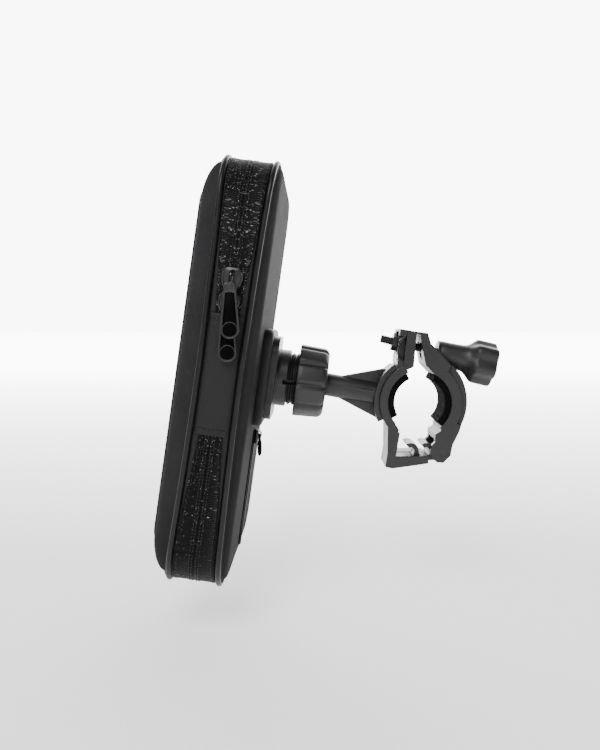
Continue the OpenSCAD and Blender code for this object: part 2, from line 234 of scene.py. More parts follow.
def sweep(name, s0, s1, profile, body, material, closed_path=False, face_column_material=None, **kw):
    """A closed profile carried round the case outline. profile(z) gives columns of x and of inset."""
    s = stations(s0, s1)
    if closed_path:
        s = s[:-1]
    point, normal = outline(s)
    verts = around(point, normal, *profile(point[:, 1]))
    nu, nv = verts.shape[:2]
    u = np.concatenate([s, [s1]])
    faces, uvs = grid_faces(nu, nv, closed_path, True, u, running(verts[0]), caps=not closed_path)
    column = None
    if face_column_material is not None:
        columns = nu if closed_path else nu - 1
        column = list(face_column_material) * columns
        column += [0] * (len(faces) - len(column))
    return add_piece(name, verts.reshape(-1, 3), faces, CASE, body, material, uvs=uvs,
                     face_materials=column, **kw)


def revolve(name, profile, where, body, material, lobe=None, n=96, **kw):
    """A closed (x, r) profile turned round local x. lobe(angle, x, r) may change the radius."""
    p = np.array(profile, float)
    a = np.arange(n) * 2 * math.pi / n
    angle, x = np.meshgrid(a, p[:, 0], indexing="ij")
    r = np.tile(p[:, 1], (n, 1))
    if lobe:
        r = lobe(angle, x, r)
    verts = np.stack([x, -r * np.cos(angle), r * np.sin(angle)], 2)
    mean = p[:, 1].max()
    faces, uvs = grid_faces(n, len(p), True, True, np.arange(n + 1) * 2 * math.pi / n * mean, running(p))
    return add_piece(name, verts.reshape(-1, 3), faces, where, body, material, uvs=uvs, **kw)


def round_profile(points, radius, steps=3):
    """Rounds the corners of a closed 2D outline with short arcs."""
    out = []
    n = len(points)
    for i in range(n):
        p = np.array(points[i], float)
        a = np.array(points[i - 1], float) - p
        b = np.array(points[(i + 1) % n], float) - p
        la, lb = np.linalg.norm(a), np.linalg.norm(b)
        cut = min(radius[i] if isinstance(radius, (list, tuple)) else radius, la * 0.45, lb * 0.45)
        start, end = p + a / la * cut, p + b / lb * cut
        for k in range(steps + 1):
            t = k / steps
            out.append(tuple((1 - t) ** 2 * start + 2 * t * (1 - t) * p + t * t * end))
    return out


def beads(name, centres, along, out, size, where, body, material, **kw):
    """Many small rounded stitches as one mesh. size is (length, width, height)."""
    centres, along, out = (np.asarray(v, float) for v in (centres, along, out))
    side = np.cross(along, out)
    rings = [(-0.5, 0.35), (-0.28, 0.9), (0.28, 0.9), (0.5, 0.35)]
    n_side = 6
    verts, faces = [], []
    for c, t, o, b in zip(centres, along, out, side):
        base = len(verts)
        for pos, grow in rings:
            for k in range(n_side):
                q = 2 * math.pi * k / n_side
                verts.append(c + t * pos * size[0] + b * math.cos(q) * size[1] / 2 * grow
                             + o * math.sin(q) * size[2] / 2 * grow)
        for r in range(len(rings) - 1):
            for k in range(n_side):
                k2 = (k + 1) % n_side
                faces.append((base + r * n_side + k, base + r * n_side + k2,
                              base + (r + 1) * n_side + k2, base + (r + 1) * n_side + k))
        faces.append(tuple(base + k for k in range(n_side)))
        faces.append(tuple(base + (len(rings) - 1) * n_side + k for k in range(n_side))[::-1])
    return add_piece(name, verts, faces, where, body, material, **kw)


def row_of_beads(name, s0, s1, pitch, x_of_z, inset, size, body, material, **kw):
    """Stitches at a pitch round the case outline."""
    s = np.arange(s0 + pitch / 2, s1, pitch)
    point, normal = outline(s)
    tangent = np.stack([normal[:, 1], -normal[:, 0]], 1)
    x = x_of_z(point[:, 1])
    centres = np.stack([x, point[:, 0] - inset * normal[:, 0], point[:, 1] - inset * normal[:, 1]], 1)
    along = np.column_stack([np.zeros(len(s)), tangent])
    out = np.column_stack([np.zeros(len(s)), normal])
    return beads(name, centres, along, out, size, CASE, body, material, **kw)


# ---------------------------------------------------------------- materials
def material(name, colour, rough, spec=0.5):
    m = bpy.data.materials.new(name)
    m.use_nodes = True
    nodes, links = m.node_tree.nodes, m.node_tree.links
    shader = nodes["Principled BSDF"]
    shader.inputs["Base Color"].default_value = (*colour, 1)
    shader.inputs["Roughness"].default_value = rough
    shader.inputs["Specular IOR Level"].default_value = spec
    return m, nodes, links, shader


def coordinates(nodes, kind):
    return nodes.new("ShaderNodeTexCoord").outputs[kind]


def noise(nodes, links, source, scale, detail=3.0, rough=0.5):
    n = nodes.new("ShaderNodeTexNoise")
    n.inputs["Scale"].default_value = scale
    n.inputs["Detail"].default_value = detail
    n.inputs["Roughness"].default_value = rough
    links.new(source, n.inputs["Vector"])
    return n.outputs["Fac"]


def spread(nodes, links, value, low, high, to_low=0.0, to_high=1.0):
    r = nodes.new("ShaderNodeMapRange")
    for key, v in (("From Min", low), ("From Max", high), ("To Min", to_low), ("To Max", to_high)):
        r.inputs[key].default_value = v
    links.new(value, r.inputs["Value"])
    return r.outputs["Result"]


def bump(nodes, links, height, distance, strength=1.0, normal=None):
    b = nodes.new("ShaderNodeBump")
    b.inputs["Distance"].default_value = distance
    b.inputs["Strength"].default_value = strength
    links.new(height, b.inputs["Height"])
    if normal is not None:
        links.new(normal, b.inputs["Normal"])
    return b.outputs["Normal"]


def ramp(nodes, links, value, colours):
    r = nodes.new("ShaderNodeValToRGB")
    while len(r.color_ramp.elements) < len(colours):
        r.color_ramp.elements.new(0.5)
    for e, (at, c) in zip(r.color_ramp.elements, colours):
        e.position = at
        e.color = (*c, 1)
    links.new(value, r.inputs["Fac"])
    return r.outputs["Color"]


def mathn(nodes, links, op, a, b=None, value=None):
    n = nodes.new("ShaderNodeMath")
    n.operation = op
    links.new(a, n.inputs[0])
    if b is not None:
        links.new(b, n.inputs[1])
    elif value is not None:
        n.inputs[1].default_value = value
    return n.outputs[0]


def rounded_edges(nodes, radius):
    b = nodes.new("ShaderNodeBevel")
    b.samples = 6
    b.inputs["Radius"].default_value = radius
    return b.outputs["Normal"]


def plastic_material(name, colour, rough, edge=0.0006):
    """Moulded plastic with a fine spark-eroded grain and softened edges."""
    m, nodes, links, shader = material(name, colour, rough)
    where = coordinates(nodes, "Object")
    grain = noise(nodes, links, where, 2600, 2)
    cloud = noise(nodes, links, where, 60, 4)
    normal = bump(nodes, links, grain, 0.00004, 0.7, rounded_edges(nodes, edge))
    links.new(normal, shader.inputs["Normal"])
    links.new(spread(nodes, links, cloud, 0.3, 0.7, rough - 0.06, rough + 0.08), shader.inputs["Roughness"])
    dark = tuple(c * 0.82 for c in colour)
    light = tuple(c * 1.18 for c in colour)
    links.new(ramp(nodes, links, cloud, [(0.3, dark), (0.7, light)]), shader.inputs["Base Color"])
    return m


def fabric_material(name, colour, rough, pitch, depth, sheen=0.25, spec=0.25):
    """Fine coated cloth: a plain weave in the surface's own millimetres, under a soft mottle."""
    m, nodes, links, shader = material(name, colour, rough, spec)
    where = coordinates(nodes, "Object")
    split = nodes.new("ShaderNodeSeparateXYZ")
    links.new(where, split.inputs[0])
    turn = 2 * math.pi / pitch
    waves = []
    for axis in ("Y", "Z", "X"):
        phase = mathn(nodes, links, "MULTIPLY", split.outputs[axis], value=turn)
        waves.append(mathn(nodes, links, "SINE", phase))
    weave = mathn(nodes, links, "MULTIPLY", waves[0], waves[1])
    weave = mathn(nodes, links, "ADD", weave, mathn(nodes, links, "MULTIPLY", waves[2], waves[1]))
    mottle = noise(nodes, links, where, 420, 4, 0.6)
    height = mathn(nodes, links, "ADD", mathn(nodes, links, "MULTIPLY", weave, value=0.35), mottle)
    links.new(bump(nodes, links, height, depth, 0.8), shader.inputs["Normal"])
    cloud = noise(nodes, links, where, 45, 5, 0.6)
    dark = tuple(c * 0.85 for c in colour)
    light = tuple(c * 1.2 for c in colour)
    links.new(ramp(nodes, links, cloud, [(0.3, dark), (0.72, light)]), shader.inputs["Base Color"])
    links.new(spread(nodes, links, cloud, 0.3, 0.7, rough - 0.05, rough + 0.07), shader.inputs["Roughness"])
    shader.inputs["Sheen Weight"].default_value = sheen
    shader.inputs["Sheen Roughness"].default_value = 0.4
    return m


def tape_material(name):
    """Woven zip tape: a herringbone of glossy threads, from the surface's own coordinates in millimetres, with
    a painted highlight on the thread crests and painted glints, more of them higher up.
    """
    m, nodes, links, shader = material(name, (0.008, 0.008, 0.009), 0.5, 0.12)
    uv = nodes.new("ShaderNodeUVMap").outputs["UV"]
    split = nodes.new("ShaderNodeSeparateXYZ")
    links.new(uv, split.inputs[0])
    across = mathn(nodes, links, "PINGPONG", split.outputs["Y"], value=1.6)
    diagonal = mathn(nodes, links, "ADD", mathn(nodes, links, "MULTIPLY", split.outputs["X"], value=6.8),
                     mathn(nodes, links, "MULTIPLY", across, value=5.2))
    twill = mathn(nodes, links, "SINE", diagonal)
    weft = mathn(nodes, links, "SINE", mathn(nodes, links, "MULTIPLY", split.outputs["Y"], value=9.5))
    woven = mathn(nodes, links, "MULTIPLY", twill, weft)
    scatter = nodes.new("ShaderNodeTexVoronoi")
    scatter.inputs["Scale"].default_value = 1.9
    links.new(uv, scatter.inputs["Vector"])
    uneven = mathn(nodes, links, "MULTIPLY", scatter.outputs["Distance"], value=1.2)
    height = mathn(nodes, links, "ADD", woven, uneven)
    links.new(bump(nodes, links, height, 0.00012, 1.0), shader.inputs["Normal"])
    # Painted highlight: the crests of the twill are painted lighter.
    painted_crest_highlight = spread(nodes, links, woven, 0.35, 0.95, 0.0, 0.07)
    # Painted glints: bright dots in a share of random cells, a larger share higher up the case.
    painted_glint_cells = nodes.new("ShaderNodeTexVoronoi")
    painted_glint_cells.inputs["Scale"].default_value = 1.7
    links.new(uv, painted_glint_cells.inputs["Vector"])
    chance = nodes.new("ShaderNodeSeparateXYZ")
    links.new(painted_glint_cells.outputs["Color"], chance.inputs[0])
    height_above = nodes.new("ShaderNodeSeparateXYZ")
    links.new(coordinates(nodes, "Object"), height_above.inputs[0])
    painted_glint_share = spread(nodes, links, height_above.outputs["Z"], -0.055, 0.03, 0.06, 0.42)
    lit = mathn(nodes, links, "LESS_THAN", chance.outputs["X"], painted_glint_share)
    dot = spread(nodes, links, painted_glint_cells.outputs["Distance"], 0.22, 0.42, 1.0, 0.0)
    spark = mathn(nodes, links, "MULTIPLY", mathn(nodes, links, "MULTIPLY", lit, dot), chance.outputs["Y"])
    # Painted highlight and painted glints together lighten the colour and lower the roughness.
    painted_shine = mathn(nodes, links, "ADD", painted_crest_highlight, spark)
    links.new(ramp(nodes, links, painted_shine, [(0.0, (0.002, 0.002, 0.0022)), (1.0, (0.3, 0.3, 0.31))]),
              shader.inputs["Base Color"])
    links.new(spread(nodes, links, painted_shine, 0.0, 1.0, 0.55, 0.3), shader.inputs["Roughness"])
    return m


def simple_material(name, colour, rough, grain=900, depth=0.00002, edge=None, spec=0.5):
    m, nodes, links, shader = material(name, colour, rough, spec)
    where = coordinates(nodes, "Object")
    normal = rounded_edges(nodes, edge) if edge else None
    speckle = noise(nodes, links, where, grain, 3)
    links.new(bump(nodes, links, speckle, depth, 0.7, normal), shader.inputs["Normal"])
    cloud = noise(nodes, links, where, 90, 4)
    links.new(spread(nodes, links, cloud, 0.3, 0.7, rough * 0.85, rough * 1.2), shader.inputs["Roughness"])
    return m


def rubber_material(name):
    """Grip rubber with a raised cross-hatch that follows the pad."""
    m, nodes, links, shader = material(name, (0.006, 0.006, 0.006), 0.95, 0.025)
    uv = nodes.new("ShaderNodeUVMap").outputs["UV"]
    split = nodes.new("ShaderNodeSeparateXYZ")
    links.new(uv, split.inputs[0])
    plus = mathn(nodes, links, "ADD", split.outputs["X"], split.outputs["Y"])
    minus = mathn(nodes, links, "SUBTRACT", split.outputs["X"], split.outputs["Y"])
    ribs = []
    for v in (plus, minus):
        ribs.append(mathn(nodes, links, "SINE", mathn(nodes, links, "MULTIPLY", v, value=5.0)))
    hatch = mathn(nodes, links, "MAXIMUM", ribs[0], ribs[1])
    links.new(bump(nodes, links, hatch, 0.0002, 1.0), shader.inputs["Normal"])
    # The grooves of the hatch are painted darker than its ridges: painted shade in the grooves.
    links.new(ramp(nodes, links, hatch, [(0.0, (0.001, 0.001, 0.001)), (1.0, (0.009, 0.009, 0.009))]),
              shader.inputs["Base Color"])
    return m


def clear_material(name):
    m, nodes, links, shader = material(name, (0.3, 0.32, 0.33), 0.1)
    shader.inputs["Alpha"].default_value = 0.16
    where = coordinates(nodes, "Object")
    links.new(bump(nodes, links, noise(nodes, links, where, 35, 2), 0.0004, 0.35), shader.inputs["Normal"])
    return m


PLASTIC = plastic_material("moulded_plastic", (0.0100, 0.0100, 0.0108), 0.44)
KNOB = plastic_material("knob_plastic", (0.0100, 0.0100, 0.0108), 0.5)
RUBBER = rubber_material("grip_rubber")
STEEL = simple_material("black_steel", (0.012, 0.012, 0.0125), 0.36, 1500, edge=0.0002)
NYLON = simple_material("liner_nylon", (0.55, 0.55, 0.5), 0.5)
SHELL = fabric_material("shell_fabric", (0.023, 0.023, 0.0242), 0.82, 0.0007, 0.00005, 0.0, 0.03)
WELT = simple_material("piping", (0.0038, 0.0038, 0.0042), 0.4, 1400, 0.00003, spec=0.3)
TAPE = tape_material("zip_tape")
PANEL_CLOTH = fabric_material("hinge_fabric", (0.0095, 0.0095, 0.010), 0.57, 0.0005, 0.00004, 0.05)
THREAD = simple_material("stitch_thread", (0.003, 0.003, 0.0033), 0.5, 3000, 0.00005)
COIL = simple_material("zip_coil", (0.012, 0.012, 0.013), 0.3, 3000, 0.00003)
SLIDER = simple_material("slider_metal", (0.012, 0.012, 0.0125), 0.36, 700, 0.00001, 0.00015)
PULL = simple_material("pull_plastic", (0.0015, 0.0015, 0.0017), 0.5, 1200, 0.00002, 0.00015, 0.03)
BAIL = simple_material("bail_metal", (0.002, 0.002, 0.0022), 0.2, 700, 0.00001)
PAD_CLOTH = fabric_material("pad_cloth", (0.015, 0.015, 0.016), 0.6, 0.0007, 0.00005, 0.05, 0.3)
# A lighter copy of the pull plastic on the pulls' rims and dishes: a painted highlight along their raised
# edges.
PULL_RIM_HIGHLIGHT = simple_material("pull_rim_painted_highlight", (0.009, 0.009, 0.0095), 0.42, 1200, 0.00002, 0.00015)
FOAM = fabric_material("foam", (0.03, 0.03, 0.03), 0.9, 0.0011, 0.0003, 0.1)
CLEAR = clear_material("clear_film")


# ---------------------------------------------------------------- case shells
RIM = 1.25
RIM_IN = 2.6


def soft_profile(side, face_x, outer, inner, side_d, end_d):
    """Columns of a shell, from points of (share of the depth, fixed inset, share of the shoulder)."""
    f = np.array([p[0] for p in outer + inner])
    d = np.array([p[1] for p in outer + inner])
    k = np.array([p[2] for p in outer + inner])

    def profile(z, nz):
        rim = ZIP_X + side * (half_gap(z) + RIM)
        shoulder = side_d + (end_d - side_d) * np.abs(nz) ** 1.5
        x = rim[:, None] + (face_x - rim)[:, None] * f[None, :]
        return x, d[None, :] + shoulder[:, None] * k[None, :]
    return profile


def shoulder_points(inset, count, start):
    """A quarter ellipse from the rim to the face."""
    out = []
    for k in range(count):
        a = math.pi / 2 * k / (count - 1)
        out.append((start + (1 - start) * math.sin(a), inset, 1 - math.cos(a)))
    return out


def sweep_shell(profile):
    s = stations(0, PERIMETER)[:-1]
    point, normal = outline(s)
    return s, around(point, normal, *profile(point[:, 1], normal[:, 1]))


# The rim carries a narrow flange under the piping, then the moulded shoulder
RIM_STEP = [(-0.06, RIM_IN + 1.0, 0), (-0.05, 0.9, 0), (-0.02, 0.62, 0), (0.05, 0.6, 0), (0.085, 0.8, 0),
            (0.1, 1.5, 0), (0.12, 2.1, 0)]
SHOULDER = RIM_STEP + shoulder_points(RIM_IN - 0.35, 10, 0.14)
FRONT_OUT = SHOULDER + [(1.0, RIM_IN + 0.6, 1), (0.985, RIM_IN + 1.0, 1)]
FRONT_IN = [(0.80, RIM_IN + 1.0, 1), (0.76, RIM_IN + 1.4, 0.7), (0.6, RIM_IN + 1.8, 0.3),
            (0.3, RIM_IN + 1.9, 0.06), (0.0, RIM_IN + 1.9, 0)]
WINDOW_END, WINDOW_SIDE = 15.0, 9.0
front_stations, front_verts = sweep_shell(
    soft_profile(-1, FACE_X, FRONT_OUT, FRONT_IN, WINDOW_SIDE, WINDOW_END))
front_faces, front_uvs = grid_faces(front_verts.shape[0], front_verts.shape[1], True, True,
                                    np.append(front_stations, PERIMETER), running(front_verts[0]))
add_piece("front_shell_skin", front_verts.reshape(-1, 3), front_faces, CASE, "cover", SHELL, uvs=front_uvs,
          replaces=["front_shell"], slot="shell_fabric")

REAR_SHOULDER = 4.5
REAR_WALL = 2.0
REAR_IN = [(0.0, RIM_IN + 2, 0), (0.5, RIM_IN + 2, 0.2), (0.62, RIM_IN + 2, 1)]


def crowned_shell(name, body, mat, **kw):
    """The rear shell: swept like the front one, but closed over the middle outside and inside."""
    medial_z = HALF_L - HALF_W
    stack = []
    for points, top_x, turn in ((SHOULDER, BACK_X, -1), (REAR_IN, BACK_X - REAR_WALL, 1)):
        s, verts = sweep_shell(soft_profile(1, top_x, points, [], REAR_SHOULDER, REAR_SHOULDER))
        rings = [verts[:, k] for k in range(verts.shape[1])]
        edge = rings[-1]
        medial = np.stack([np.full(len(s), top_x), np.zeros(len(s)),
                           np.clip(edge[:, 2], MID_Z - medial_z, MID_Z + medial_z)], 1)
        rings += [edge * (1 - t) + medial * t for t in (0.2, 0.45, 0.7, 0.9, 0.985)]
        stack += rings[::turn]
    return add_grid(name, np.array(stack), False, CASE, body, mat, **kw)


crowned_shell("rear_shell_skin", "case", SHELL, replaces=["rear_shell"], slot="shell_fabric")


# ---------------------------------------------------------------- piping
def circle_profile(side, offset, inset, radius, n):
    """A round bead beside the gusset."""
    a = np.arange(n) * 2 * math.pi / n

    def profile(z):
        x = ZIP_X + side * (half_gap(z) + offset)
        return x[:, None] + radius * np.cos(a)[None, :], np.tile(inset + radius * np.sin(a), (len(z), 1))
    return profile


def fixed_flange(side):
    """The sewn-in strip of the piping, running in under the shell's rim and the gusset."""
    shape = [(-1.5, 1.5), (1.3, 1.5), (1.3, 3.8), (-1.5, 3.8)]

    def profile(z):
        x = ZIP_X + side * half_gap(z)
        return np.stack([x + side * p[0] for p in shape], 1), np.tile([p[1] for p in shape], (len(z), 1))
    return profile


for side, body, node in ((-1, "cover", "front_piping"), (1, "case", "rear_piping")):
    sweep(node + "_bead", 0, PERIMETER, circle_profile(side, 0.15, 0.35, 1.1, 14), body, WELT,
          closed_path=True, replaces=[node], slot="piping")
    sweep(node + "_flange", 0, PERIMETER, fixed_flange(side), body, WELT, closed_path=True, slot="piping")


# ---------------------------------------------------------------- zip gusset
PANEL_TOP = PANEL[1][2] - MID_Z
PANEL_LOW = PANEL[0][2] - MID_Z
TAPE_MID = 4.3


def tape_edge(z):
    """Distance from the zip to the tape's woven edge, narrow beside the hinge panel."""
    reach = np.clip(np.abs(z - (MID_Z + (PANEL_TOP + PANEL_LOW) / 2)) - 20, 0, 60) / 60
    return np.minimum(half_gap(z) - 1.7, TAPE_MID + 5.2 * reach ** 1.1)


def gusset_profile(side):
    """One half of the gusset: the tape out to its woven edge, then the cloth, then back underneath."""
    def profile(z):
        g, w = half_gap(z), tape_edge(z)
        one = np.ones(len(z))
        edge = np.maximum(w + 0.35, g - 1.25)
        points = [(0.02 * one, 1.6), (0.03 * one, 0.5), (0.35 * one, 0.3), (1.2 * one, 0.22),
                  (1.35 * one, 0.34), (2.35 * one, 0.26), (2.6 * one, 0.42),
                  (2.6 + (w - 2.6) * 0.5, 0.4), (w - 0.8, 0.34), (w - 0.35, 0.16),
                  (w - 0.05, 0.22), (w + 0.02, 0.52), ((w + edge) / 2, 0.5),
                  (edge - 0.2, 0.56), (edge, 0.8), (edge, 2.3), (1.5 * one, 2.2), (0.02 * one, 2.2)]
        x = np.stack([ZIP_X + side * q for q, _ in points], 1)
        return x, np.tile([d for _, d in points], (len(z), 1))
    return profile


COLUMN_MATERIAL = [0] * 11 + [1] * 5 + [0, 0]
NEAR_UP = SIDE + 2.0
NEAR_LOW = PERIMETER - SIDE - 2.0
LOW_END = PERIMETER + PANEL_LOW
ZIP_RUNS = [("rear_tape", 1, PANEL_TOP, LOW_END, "case", ["rear_gusset"]),
            ("front_tape", -1, NEAR_UP, NEAR_LOW, "cover", ["front_gusset"]),
            ("near_tape_upper", -1, PANEL_TOP, NEAR_UP, None, ["near_tape"]),
            ("near_tape_lower", -1, NEAR_LOW, LOW_END, None, [])]


def bend_with_cover(obj):
    """Bakes the piece's transform into its mesh."""
    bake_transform(obj)


for name, side, s0, s1, body, nodes in ZIP_RUNS:
    made = [sweep(name, s0, s1, gusset_profile(side), body, [TAPE, PANEL_CLOTH],
                  face_column_material=COLUMN_MATERIAL, replaces=nodes, slot="zip_tape")]
    for row, q in enumerate((0.8, 1.85)):
        made.append(row_of_beads("%s_coil_%d" % (name, row + 1), s0 + 0.4, s1 - 0.4, 1.3,
                                 lambda z, q=q: np.full(len(z), ZIP_X + side * q), 0.22, (0.8, 0.3, 0.26),
                                 body, COIL, slot="zip_tape"))
    made.append(row_of_beads(name + "_seam", s0 + 0.4, s1 - 0.4, 2.2,
                             lambda z: ZIP_X + side * (tape_edge(z) - 1.0), 0.34, (1.5, 0.3, 0.2),
                             body, THREAD, slot="zip_tape"))
    if body is None:
        for piece in made:
            bend_with_cover(piece)


# ---------------------------------------------------------------- hinge panel
def make_hinge_panel():
    """The cloth panel on the hinge side, hemmed and stitched at both ends."""
    z0, z1 = PANEL[0][2] - 1.2, PANEL[1][2] + 1.2
    rows = np.linspace(z0, z1, 40)
    rows = np.concatenate([[z0, z0 + 0.15], rows[1:-1], [z1 - 0.15, z1]])
    q = np.array([-1, -0.93, -0.8, -0.5, -0.2, 0, 0.2, 0.5, 0.8, 0.93, 1])
    y_out = -HALF_W + 0.35
    verts = []
    for k, z in enumerate(rows):
        half = half_gap(np.array([z]))[0] - 1.15
        end = k in (0, len(rows) - 1)
        hem = 0.6 * math.exp(-((z - z0 - 2.2) / 0.7) ** 2) + 0.6 * math.exp(-((z1 - 2.2 - z) / 0.7) ** 2)
        swell = 0.22 if (z - z0 < 2.0 or z1 - z < 2.0) else 0.0
        ring = []
        for v in q:
            dip = 0.75 * max(0, abs(v) - 0.86) / 0.14
            ring.append((ZIP_X + v * half, y_out + dip + hem * 0.6 - swell + (0.35 if end else 0), z))
        for v in q[::-1]:
            ring.append((ZIP_X + v * half, y_out + 1.25, z))
        verts.append(ring)
    verts = np.array(verts)
    nu, nv = verts.shape[:2]
    faces, uvs = grid_faces(nu, nv, False, True, np.append(rows, rows[-1]), running(verts[0]), caps=True)
    panel = add_piece("hinge_panel_cloth", verts.reshape(-1, 3), faces, CASE, None, PANEL_CLOTH,
                      replaces=["hinge_panel"], slot="hinge_fabric", uvs=uvs)
    stitched = [panel]
    for k, z in enumerate((z0 + 2.2, z1 - 2.2)):
        half = half_gap(np.array([z]))[0] - 2.0
        x = np.arange(-half + 0.8, half, 1.7)
        centres = [(ZIP_X + v, y_out + 0.12, z) for v in x]
        stitched.append(beads("hinge_stitches_%d" % (k + 1), centres, [(1, 0, 0)] * len(x),
                              [(0, -1, 0)] * len(x), (1.25, 0.5, 0.4), CASE, None, THREAD,
                              slot="hinge_fabric"))
    for piece in stitched:
        bend_with_cover(piece)


make_hinge_panel()


# ---------------------------------------------------------------- window binding, mount pad, foam
def rounded_rect(half_l, half_w, r, n=8):
    pts = []
    for k, (sy, sz) in enumerate(((1, 1), (-1, 1), (-1, -1), (1, -1))):
        for i in range(n + 1):
            a = math.radians(90 * k + 90 * i / n)
            pts.append((sy * (half_w - r) + r * math.cos(a), sz * (half_l - r) + r * math.sin(a)))
    return np.array(pts)


def block(name, layers, centre, body, mat, **kw):
    """A block of rounded-rectangle layers (x, half length, half width, radius), capped at both ends."""
    rings = []
    for x, hl, hw, r in layers:
        yz = rounded_rect(hl, hw, r)
        rings.append(np.column_stack([np.full(len(yz), x), yz[:, 0] + centre[0], yz[:, 1] + centre[1]]))
    return add_grid(name, np.array(rings), False, CASE, body, mat, **kw)


def dome_layers(x0, x1, hl, hw, r, soft, side_soft=0.4):
    """Layers of a pad from its back at x0 to a softly rounded front at x1."""
    layers = [(x0, hl - side_soft, hw - side_soft, r), (x0 + side_soft, hl, hw, r)]
    for k in range(7):
        a = math.radians(15 * k)
        layers.append((x1 - soft + soft * math.sin(a), hl - soft + soft * math.cos(a),
                       hw - soft + soft * math.cos(a), max(r - soft + soft * math.cos(a), 0.6)))
    layers.append((x1 + 0.02, hl - soft - 2.5, hw - soft - 2.5, max(r - soft - 1, 0.5)))
    return layers


pad_lo, pad_hi = local_box("mount_pad", CASE)
pad_layers = dome_layers(pad_lo[0] - 0.3, pad_hi[0] - 0.02, (pad_hi[2] - pad_lo[2]) / 2,
                         (pad_hi[1] - pad_lo[1]) / 2, 5.0, 1.9)
pad = block("mount_pad_skin", pad_layers, (0, (pad_hi[2] + pad_lo[2]) / 2), "case", PAD_CLOTH,
            replaces=["mount_pad"], slot="shell_fabric")

foam_lo, foam_hi = local_box("foam_insert", CASE)
FOAM_L, FOAM_W = (foam_hi[2] - foam_lo[2]) / 2, (foam_hi[1] - foam_lo[1]) / 2
foam_layers = [(foam_hi[0], FOAM_L - 0.4, FOAM_W - 0.4, 10.6), (foam_hi[0] - 0.6, FOAM_L, FOAM_W, 11),
               (foam_lo[0] + 0.9, FOAM_L, FOAM_W, 11),
               (foam_lo[0] + 0.2, FOAM_L - 0.6, FOAM_W - 0.6, 10.4),
               (foam_lo[0], FOAM_L - 1.8, FOAM_W - 1.8, 9.2)]
foam = block("foam_sheet", foam_layers, (0, MID_Z), "case", FOAM, replaces=["foam_insert"], slot="foam")

TRIM_IN, TRIM_OUT = -0.4, 2.6
TRIM_CORNER_IN, TRIM_CORNER_OUT = 8.6, 6.0
OPEN_L = HALF_L - RIM_IN - WINDOW_END - 0.4
OPEN_W = HALF_W - RIM_IN - WINDOW_SIDE - 0.4


def window_trim():
    """A bound edge round the window. Its outer corners are tight, to cover those of the opening."""
    shape = round_profile([(0.3, TRIM_OUT), (-0.5, TRIM_OUT), (-0.5, TRIM_IN), (1.2, TRIM_IN)],
                          [0.1, 0.4, 0.4, 0.1])
    rings = []
    for x, grow in shape:
        corner = np.interp(grow, (TRIM_IN, TRIM_OUT), (TRIM_CORNER_IN, TRIM_CORNER_OUT))
        yz = rounded_rect(OPEN_L + grow, OPEN_W + grow, corner)
        rings.append(np.column_stack([np.full(len(yz), FACE_X + x), yz[:, 0], yz[:, 1] + MID_Z]))
    verts = np.array(rings)
    faces, uvs = grid_faces(verts.shape[0], verts.shape[1], True, True)
    add_piece("window_trim", verts.reshape(-1, 3), faces, CASE, "cover", WELT, uvs=uvs,
              replaces=["window_binding"], slot="piping")
    line = rounded_rect(OPEN_L + 1.1, OPEN_W + 1.1, 7.3, 10)
    steps = running(np.column_stack([line, line[:, 0] * 0]))
    marks = np.arange(1.5, steps[-1], 3.0)
    closed = np.vstack([line, line[:1]])
    y, z = (np.interp(marks, steps, closed[:, c]) for c in (0, 1))
    y2, z2 = (np.interp(marks + 0.2, steps, closed[:, c]) for c in (0, 1))
    along = np.column_stack([y * 0, y2 - y, z2 - z])
    along /= np.linalg.norm(along, axis=1)[:, None]
    beads("window_stitches", np.column_stack([y * 0 + FACE_X - 0.5, y, z + MID_Z]), along,
          [(-1, 0, 0)] * len(marks), (2.0, 0.42, 0.4), CASE, "cover", THREAD, slot="piping")


window_trim()


# ---------------------------------------------------------------- zip sliders and pulls
def outline_piece(name, outline2d, y0, y1, place, body, mat, bevel=0.25, **kw):
    """A flat outline in local x and z between y0 and y1, with softened edges. place is its local matrix."""
    pts = np.array(outline2d, float)
    centre = pts.mean(0)
    rings = []
    for y, shrink in ((y0, bevel), (y0 + bevel * 0.4, bevel * 0.3), (y0 + bevel, 0), (y1 - bevel, 0),
                      (y1 - bevel * 0.4, bevel * 0.3), (y1, bevel)):
        away = pts - centre
        size = np.linalg.norm(away, axis=1)[:, None]
        p = centre + away * (size - shrink) / size
        rings.append(np.column_stack([p[:, 0], np.full(len(p), y), p[:, 1]]))
    return add_grid(name, np.array(rings), False, place, body, mat, **kw)


def shield(half_w, half_l):
    """Outline of a slider body: straight wide top, shoulders, and a narrower round foot."""
    right = [(half_w * 0.62, half_l), (half_w * 0.86, half_l * 0.86), (half_w, half_l * 0.5),
             (half_w * 0.97, half_l * 0.05), (half_w * 0.76, -half_l * 0.55), (half_w * 0.6, -half_l * 0.92),
             (half_w * 0.4, -half_l)]
    pts = right + [(-x, z) for x, z in reversed(right)]
    return round_profile(pts, 0.8, 2)


def tube(name, points, radius, place, body, mat, n=10, flat=1.0, **kw):
    """A round bar along points in a local frame, closed at both ends."""
    pts = np.array(points, float)
    tangent = np.gradient(pts, axis=0)
    tangent /= np.linalg.norm(tangent, axis=1)[:, None]
    ref = np.array([1.0, 0, 0]) if abs(tangent[0][0]) < 0.8 else np.array([0, 1.0, 0])
    rings = []
    for p, t in zip(pts, tangent):
        a = np.cross(t, ref)
        a /= np.linalg.norm(a)
        b = np.cross(t, a)
        q = np.arange(n) * 2 * math.pi / n
        rings.append(p + radius * (np.cos(q)[:, None] * a + flat * np.sin(q)[:, None] * b))
    return add_grid(name, np.array(rings), False, place, body, mat, **kw)


